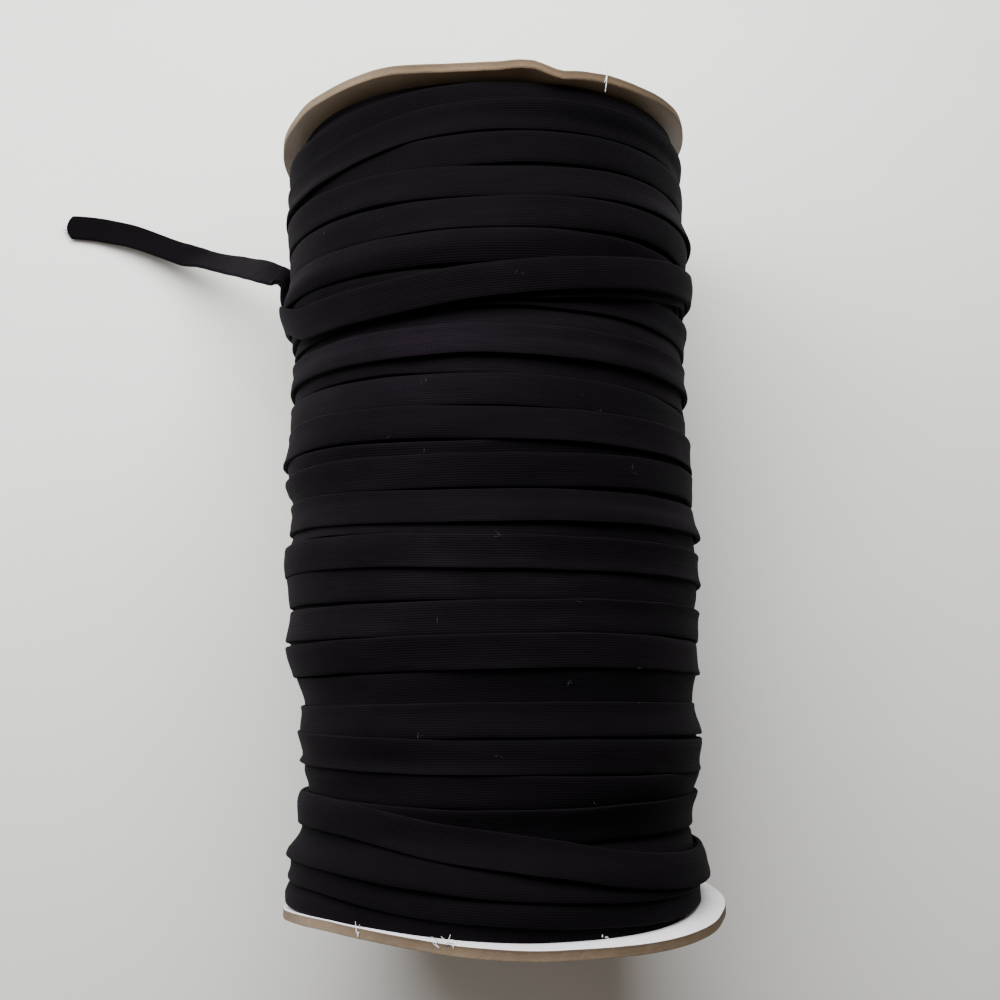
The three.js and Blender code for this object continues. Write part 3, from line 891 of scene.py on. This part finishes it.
flange = {
    "thickness": 2.0,
    "rimSteps": 192,
    "crushed": 0.35,  # the rim's edges are rounded this much by wear
    "ringWidth": 4.4,
    "rings": 9,
    "rimWander": 0.14,
    "faceWander": 0.10,
    "wanderZone": (36, 9),  # from this radius outwards, growing over so much
    "bowZone": (34, 10),
    "dentZone": (41, 4),
    "dentAngle": 20.0,
    "dentReach": 4.0,
    "dentDepth": 0.55,
    "floorGap": 0.02,
    # how far the far rim bows outwards, by angle from the top
    "farBow": [(-110, 0.3), (-75, 0.7), (-60, 0.3), (-47, 0.5), (-38, 0.95), (-28, 1.2), (-23, 1.0),
               (-16, 0.5), (-9, 0.1), (-2, 0.05), (4.5, 0.3), (9, 0.95), (13, 1.05), (16, 0.6), (20, 0.15),
               (24, 0.25), (29, 0.5), (34, 0.9), (41, 0.9), (50, 0.8), (65, 0.8), (85, 0.6), (110, 0.3)],
}


def selectFaces(piece, wanted):
    shape = bmesh.from_edit_mesh(piece.data)
    for face in shape.faces:
        face.select_set(wanted(face))
    shape.select_flush_mode()
    bmesh.update_edit_mesh(piece.data)


def cardFlange(name, outwards, warp, bow, liner, cut, seed, dent=False):
    inner = outwards * reel["innerFace"]
    middle = inner + outwards * flange["thickness"] / 2
    bpy.ops.object.select_all(action="DESELECT")
    bpy.ops.mesh.primitive_cylinder_add(
        vertices=flange["rimSteps"], radius=reel["cardRadius"] * mm, depth=flange["thickness"] * mm,
        location=(0, middle * mm, reel["axisHeight"] * mm), rotation=(math.pi / 2, 0, 0))
    disc = bpy.context.object
    disc.name = disc.data.name = name
    bpy.ops.object.transform_apply(location=True, rotation=True, scale=True)
    bpy.ops.object.mode_set(mode="EDIT")
    bpy.ops.mesh.select_mode(type="EDGE")
    shape = bmesh.from_edit_mesh(disc.data)
    for edge in shape.edges:
        edge.select_set(any(len(face.verts) > 4 for face in edge.link_faces))
    bmesh.update_edit_mesh(disc.data)
    bpy.ops.mesh.bevel(offset=flange["crushed"] * mm, segments=2, affect="EDGES")
    bpy.ops.mesh.select_mode(type="FACE")
    selectFaces(disc, lambda face: len(face.verts) > 4)
    for _ in range(flange["rings"]):
        bpy.ops.mesh.inset(thickness=flange["ringWidth"] * mm, depth=0, use_even_offset=True)
    bpy.ops.mesh.poke()
    bpy.ops.object.mode_set(mode="OBJECT")

    # the card has warped, its rim is uneven and it is pressed flat where it rests
    count = len(disc.data.vertices)
    flat = np.empty(count * 3)
    disc.data.vertices.foreach_get("co", flat)
    points = flat.reshape(-1, 3) / mm
    x, z = points[:, 0], points[:, 2] - reel["axisHeight"]
    radius, angle = np.hypot(x, z), np.arctan2(x, z)
    ply = -outwards * (points[:, 1] - middle) / (flange["thickness"] / 2)
    step = (np.degrees(angle) % 360) / 360 * flange["rimSteps"]
    places = np.arange(flange["rimSteps"] + 1)

    def roundRim(reach, pick):
        values = wander(flange["rimSteps"], reach, pick, True)
        return np.interp(step, places, np.append(values, values[0]))

    def zone(name):
        start, reach = flange[name]
        return np.clip((radius - start) / reach, 0, 1)

    outer = zone("wanderZone") ** 2
    radius = radius + outer * flange["rimWander"] * (roundRim(2.5, seed) - 1)
    points[:, 1] += warpAt(warp, radius, angle) + outer * flange["faceWander"] * roundRim(4, seed + 1)
    bowed = np.interp(np.degrees(angle), *zip(*bow))
    points[:, 1] += outwards * bowed * zone("bowZone") ** 2
    if dent:
        off = (np.degrees(angle) - flange["dentAngle"]) / flange["dentReach"]
        points[:, 1] -= flange["dentDepth"] * np.exp(-off ** 2) * zone("dentZone")
    points[:, 0] = radius * np.sin(angle)
    points[:, 2] = np.maximum(reel["axisHeight"] + radius * np.cos(angle), flange["floorGap"])
    disc.data.vertices.foreach_set("co", (points * mm).ravel())
    layer = disc.data.attributes.new("ply", "FLOAT", "POINT")
    layer.data.foreach_set("value", ply.astype(np.float32))
    disc.data.update()

    disc.data.materials.clear()
    for material in (board, liner, cut):
        disc.data.materials.append(material)
    for face in disc.data.polygons:
        sideways = face.normal.y * outwards
        face.material_index = 0 if sideways > 0.8 else 1 if sideways < -0.8 else 2
    onlySelect(disc)
    bpy.ops.object.shade_smooth_by_angle(angle=math.radians(40))
    return disc


# scraps of paper torn up along the rims: angle round the reel, place along it,
# how far from the axis, how many, how long and which way they point
tufts = {
    "near_flange": [
        (-35.0, -79.3, 44.6, 6, 1.2, (0.1, 1.0, 0.6)), (-14.5, -80.2, 44.6, 9, 1.2, (-0.8, 0.9, 0.5)),
        (-12.0, -80.2, 44.6, 9, 1.3, (0.7, 0.9, 0.6)), (24.0, -80.5, 44.6, 3, 0.6, (0, 1.0, 0.6)),
    ],
    "far_flange": [(33.2, 82.3, 45.0, 2, 3.4, (0.05, -1.0, -0.1))],
}


def tornPaper(disc, name, liner):
    rng = np.random.default_rng(51)
    scraps = []
    for degrees, along, radius, count, length, direction in tufts[name]:
        root = onReel(math.radians(degrees), along, radius)
        spread, turned = (0.35, 0.25) if count > 2 else (0.03, 0.03)
        for k in range(count):
            start = root + rng.normal(0, spread, 3)
            way = np.array(direction) + rng.normal(0, turned, 3)
            scraps.append(filament(start, way, length * rng.uniform(0.6, 1.1), 0.13, 400 + k))
    scraps = joined("scraps", *scraps)
    scraps.data.materials.clear()
    scraps.data.materials.append(liner)
    return joined(name, disc, scraps)


for name, node, outwards, warp, bow, liner, cut, seed in (
        ("far_flange", "far_disc", 1, reel["farWarp"], flange["farBow"], farLiner, farCut, 31),
        ("near_flange", "near_disc", -1, reel["nearWarp"], nearBow, nearLiner, nearCut, 41)):
    disc = cardFlange(name, outwards, warp, bow, liner, cut, seed, dent=outwards > 0)
    disc = tornPaper(disc, name, nearLiner)
    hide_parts(node)
    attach(disc, "root")
print("flanges made")

stageSet = {
    "world": "#f4dcc4",
    "worldStrength": 0.18,
    "table": ("#d0d1cf", "#d8d9d7"),
    # energy, place, what it points at and size
    "window": (8.1, (-0.06, 0.28, 0.36), (0, 0.04, 0.03), (0.6, 0.3)),
    "fill": (1.1, (-0.6, 0.0, 0.45), (0, 0.0, 0.05), (0.4, 0.5)),
    # painted shade: the table is darkened towards the front and the right, as the light falls off
    "shadeFalloffWay": (0.45, -0.9, 0),
    "grey": {"From Min": -0.12, "From Max": 0.18, "To Min": 1.0, "To Max": 0.8},
}

bpy.ops.object.select_all(action="DESELECT")
bpy.ops.mesh.primitive_plane_add(size=6, location=(0, 0, 0))
floor = bpy.context.object
floor.name = "floor"
# a painted board: pale, matt, faintly clouded
material, tree = startMaterial("painted table top")
place = addNode(tree, "ShaderNodeTexCoord")
cloud = addNode(tree, "ShaderNodeTexNoise", {"Scale": 9.0, "Detail": 3.0},
                {"Vector": place.outputs["Object"]})
tone = colourRamp(tree, cloud.outputs["Fac"], list(zip((0.3, 0.7), stageSet["table"])))
# painted shade: the table darkens towards the front and the right
slope = addNode(tree, "ShaderNodeVectorMath", {"operation": "DOT_PRODUCT", 1: stageSet["shadeFalloffWay"]},
                {0: place.outputs["Object"]})
dim = addNode(tree, "ShaderNodeMapRange", stageSet["grey"], {"Value": slope.outputs["Value"]})
greyed = addNode(tree, "ShaderNodeMix", {"data_type": "RGBA", "blend_type": "MULTIPLY", 0: 1.0},
                 {6: tone, 7: dim.outputs[0]})
shader = addNode(tree, "ShaderNodeBsdfPrincipled", {"Roughness": 0.7}, {"Base Color": greyed.outputs[2]})
addNode(tree, "ShaderNodeOutputMaterial", links={"Surface": shader.outputs[0]})
floor.data.materials.append(material)

world = bpy.data.worlds.new("pale room")
bpy.context.scene.world = world
world.use_nodes = True
background = world.node_tree.nodes["Background"]
background.inputs["Color"].default_value = linear(stageSet["world"])
background.inputs["Strength"].default_value = stageSet["worldStrength"]


def areaLamp(name, energy, place, aim, size):
    lamp = bpy.data.objects.new(name, bpy.data.lights.new(name, "AREA"))
    bpy.context.scene.collection.objects.link(lamp)
    lamp.data.shape = "RECTANGLE"
    lamp.data.size, lamp.data.size_y = size
    lamp.data.energy = energy
    lamp.location = place
    lamp.rotation_euler = (Vector(aim) - lamp.location).to_track_quat("-Z", "Y").to_euler()


areaLamp("window_light", *stageSet["window"])
areaLamp("fill_light", *stageSet["fill"])
print("floor and light placed")
